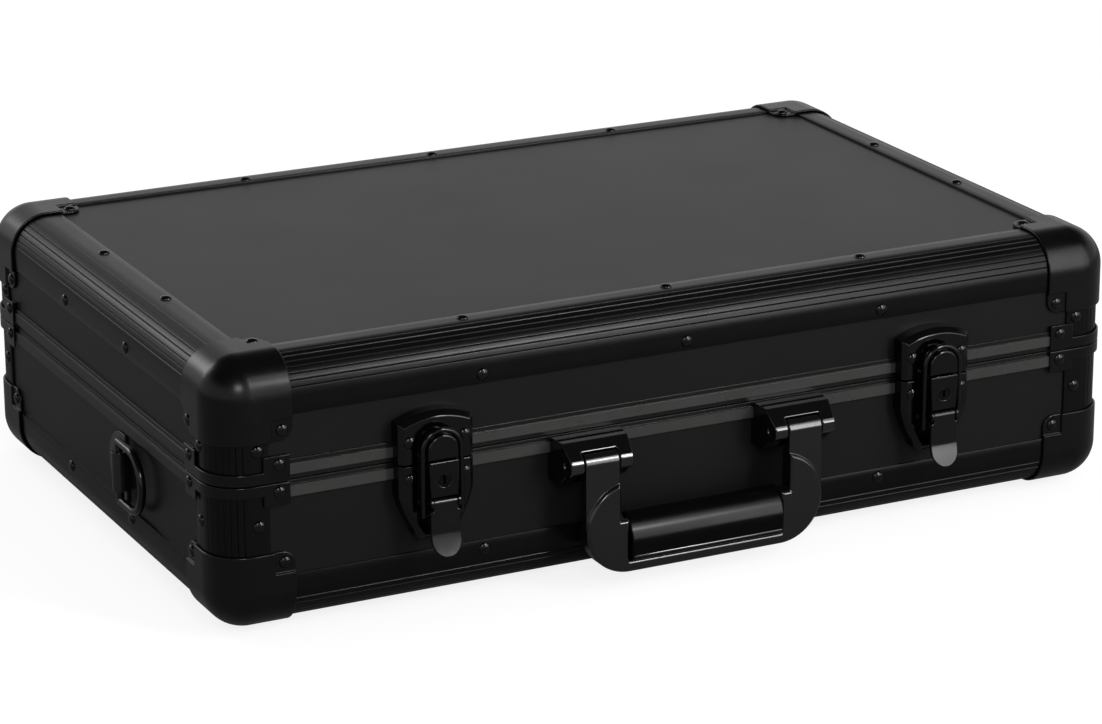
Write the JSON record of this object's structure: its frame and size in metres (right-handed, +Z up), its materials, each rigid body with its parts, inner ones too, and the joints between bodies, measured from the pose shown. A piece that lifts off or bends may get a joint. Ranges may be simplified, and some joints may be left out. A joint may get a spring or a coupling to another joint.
{
  "type": "flight case",
  "caption": "Shallow hard case with hinged lid, ribbed edge profiles, ball corners, locking draw latches, drop handle, strap rings and foam lining.",
  "frame": {"origin": "centre of the overall footprint on the floor under the rubber feet", "axes": "+Z up, +X along the length to the right as seen from the latches, +Y to the hinge side"},
  "size_m": [0.546, 0.3737, 0.1489],
  "materials": {
    "laminate": "satin dark grey laminate",
    "profile": "satin black coated aluminium",
    "rail": "satin grey coated aluminium",
    "corner": "semi-gloss black",
    "fastener": "gloss black",
    "hardware": "gloss black",
    "lock": "dark nickel",
    "handle": "satin black",
    "grip": "satin dark grey",
    "mount": "gloss black",
    "rubber": "matt black",
    "foam": "open-cell black foam"
  },
  "bodies": {
    "base": {"base_bottom_panel": "laminate", "base_front_wall": "laminate", "base_back_wall": "laminate", "base_end_walls": "laminate", "base_front_edge": "profile", "base_back_edge": "profile", "base_end_edges": "profile", "base_front_rail": "rail", "base_back_rail": "rail", "base_end_rails": "rail", "base_corner_front_left": "corner", "base_corner_front_right": "corner", "base_corner_back_left": "corner", "base_corner_back_right": "corner", "base_corner_posts": "profile", "base_corner_brackets": "corner", "base_rivets": "fastener", "base_foam_pad": "foam", "base_foam_lining": "foam", "rubber_feet": "rubber", "foot_screws": "fastener", "latch_plates": "hardware", "latch_pins": "fastener", "handle_mounts": "mount", "handle_pins": "fastener", "strap_plates": "hardware", "hinge_base_leaves": "hardware", "hinge_pins": "fastener"},
    "lid": {"lid_top_panel": "laminate", "lid_front_wall": "laminate", "lid_back_wall": "laminate", "lid_end_walls": "laminate", "lid_front_edge": "profile", "lid_back_edge": "profile", "lid_end_edges": "profile", "lid_front_rail": "rail", "lid_back_rail": "rail", "lid_end_rails": "rail", "lid_corner_front_left": "corner", "lid_corner_front_right": "corner", "lid_corner_back_left": "corner", "lid_corner_back_right": "corner", "lid_corner_posts": "profile", "lid_corner_brackets": "corner", "lid_rivets": "fastener", "lid_foam_pad": "foam", "lid_foam_lining": "foam", "catch_plates": "hardware", "hinge_lid_leaves": "hardware"},
    "lever_left": {"latch_lever_left": "hardware"},
    "lever_right": {"latch_lever_right": "hardware"},
    "loop_left": {"latch_loop_left": "hardware"},
    "loop_right": {"latch_loop_right": "hardware"},
    "lock_left": {"lock_barrel_left": "lock"},
    "lock_right": {"lock_barrel_right": "lock"},
    "handle": {"handle_frame": "handle", "handle_grip": "grip"},
    "ring_left": {"strap_ring_left": "hardware"},
    "ring_right": {"strap_ring_right": "hardware"}
  },
  "joints": [
    {"name": "lid_hinge", "type": "hinge", "parent": "base", "child": "lid", "pos_m": [0, 0.18365, 0.084], "axis": [-1, 0, 0], "range_deg": [0, 95]},
    {"name": "handle_hinge", "type": "hinge", "parent": "base", "child": "handle", "pos_m": [0, -0.17635, 0.0717], "axis": [-1, 0, 0], "range_deg": [0, 90]},
    {"name": "lever_left_hinge", "type": "hinge", "parent": "base", "child": "lever_left", "pos_m": [-0.148, -0.17695, 0.0648], "axis": [1, 0, 0], "range_deg": [-120, 0]},
    {"name": "loop_left_hinge", "type": "hinge", "parent": "lever_left", "child": "loop_left", "pos_m": [-0.148, -0.17475, 0.058], "axis": [1, 0, 0], "range_deg": [0, 292]},
    {"name": "lock_left_turn", "type": "hinge", "parent": "base", "child": "lock_left", "pos_m": [-0.148, -0.17785, 0.0765], "axis": [0, -1, 0], "range_deg": [0, 90]},
    {"name": "ring_left_hinge", "type": "hinge", "parent": "base", "child": "ring_left", "pos_m": [-0.269, -0.03135, 0.0543], "axis": [0, 0, -1], "range_deg": [0, 150]},
    {"name": "lever_right_hinge", "type": "hinge", "parent": "base", "child": "lever_right", "pos_m": [0.148, -0.17695, 0.0648], "axis": [1, 0, 0], "range_deg": [-120, 0]},
    {"name": "loop_right_hinge", "type": "hinge", "parent": "lever_right", "child": "loop_right", "pos_m": [0.148, -0.17475, 0.058], "axis": [1, 0, 0], "range_deg": [0, 292]},
    {"name": "lock_right_turn", "type": "hinge", "parent": "base", "child": "lock_right", "pos_m": [0.148, -0.17785, 0.0765], "axis": [0, -1, 0], "range_deg": [0, 90]},
    {"name": "ring_right_hinge", "type": "hinge", "parent": "base", "child": "ring_right", "pos_m": [0.269, -0.03135, 0.0543], "axis": [0, 0, 1], "range_deg": [0, 150]}
  ],
  "couplings": [
    {"joint": "lever_left_hinge", "follows": "lid_hinge", "ratio": -1.2632},
    {"joint": "loop_left_hinge", "follows": "lid_hinge", "ratio": 3.0737},
    {"joint": "lever_right_hinge", "follows": "lid_hinge", "ratio": -1.2632},
    {"joint": "loop_right_hinge", "follows": "lid_hinge", "ratio": 3.0737}
  ]
}
